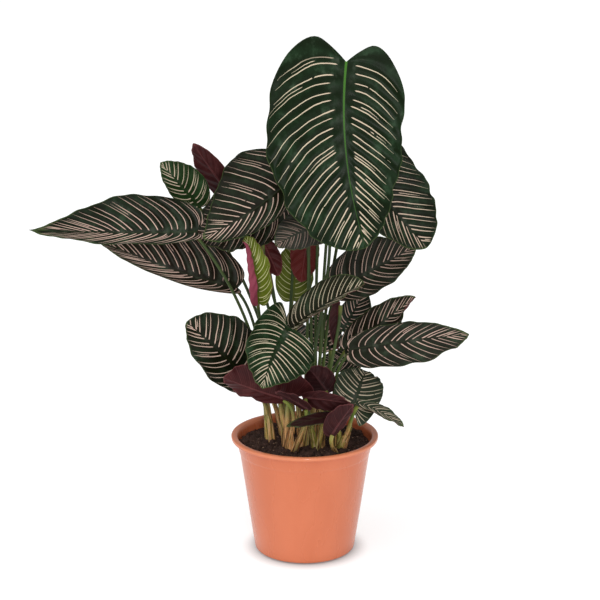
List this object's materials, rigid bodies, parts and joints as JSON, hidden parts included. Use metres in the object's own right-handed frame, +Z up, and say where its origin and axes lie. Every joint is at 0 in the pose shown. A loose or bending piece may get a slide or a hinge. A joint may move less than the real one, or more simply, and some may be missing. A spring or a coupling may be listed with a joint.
{
  "type": "potted calathea",
  "caption": "Potted calathea house plant: broad dark leaves with fine pale stripes and purple undersides on slender stalks, in a round plastic nursery pot.",
  "frame": {"origin": "centre of the pot's flat underside, on the ground", "axes": "+Z up, -Y towards the front of the plant, +X to the viewer's right"},
  "size_m": [0.54, 0.2462, 0.6593],
  "materials": {
    "pot": "satin moulded plastic",
    "soil": "loose damp potting soil",
    "stalk": "smooth fleshy stalk",
    "leaf": "satin leaf",
    "young_leaf": "satin young leaf"
  },
  "bodies": {
    "root": {"pot": "pot", "soil": "soil", "crown_a": "stalk", "crown_b": "stalk", "crown_c": "stalk", "crown_d": "stalk", "crown_e": "stalk", "crown_f": "stalk", "crown_g": "stalk", "leaf_top_front": "leaf", "leaf_top_right": "leaf", "leaf_upper_left": "leaf", "leaf_upper_left_under": "leaf", "leaf_long_left": "leaf", "leaf_long_left_under": "leaf", "leaf_small_top_left": "leaf", "leaf_purple_top": "leaf", "leaf_grey_centre": "leaf", "leaf_young_front": "young_leaf", "leaf_young_rear": "young_leaf", "leaf_hanging_rear": "leaf", "leaf_hanging_centre": "leaf", "leaf_heart_front": "leaf", "leaf_folded_centre": "leaf", "leaf_right_rear": "leaf", "leaf_right_inner": "leaf", "leaf_right_upper": "leaf", "leaf_right_lower": "leaf", "leaf_right_under": "leaf", "leaf_round_low_right": "leaf", "leaf_thin_low_right": "leaf", "leaf_purple_low_front": "leaf", "leaf_thin_low_front": "leaf", "leaf_purple_band": "leaf", "leaf_purple_small": "leaf", "leaf_purple_low_left": "leaf", "leaf_purple_centre": "leaf", "leaf_low_left": "leaf", "leaf_inner_centre": "leaf", "leaf_inner_hanging": "leaf", "leaf_back_top": "leaf", "leaf_back_left": "leaf", "leaf_back_right": "leaf", "leaf_back_low_right": "leaf", "leaf_back_low_left": "leaf", "leaf_back_centre": "leaf"}
  },
  "joints": []
}
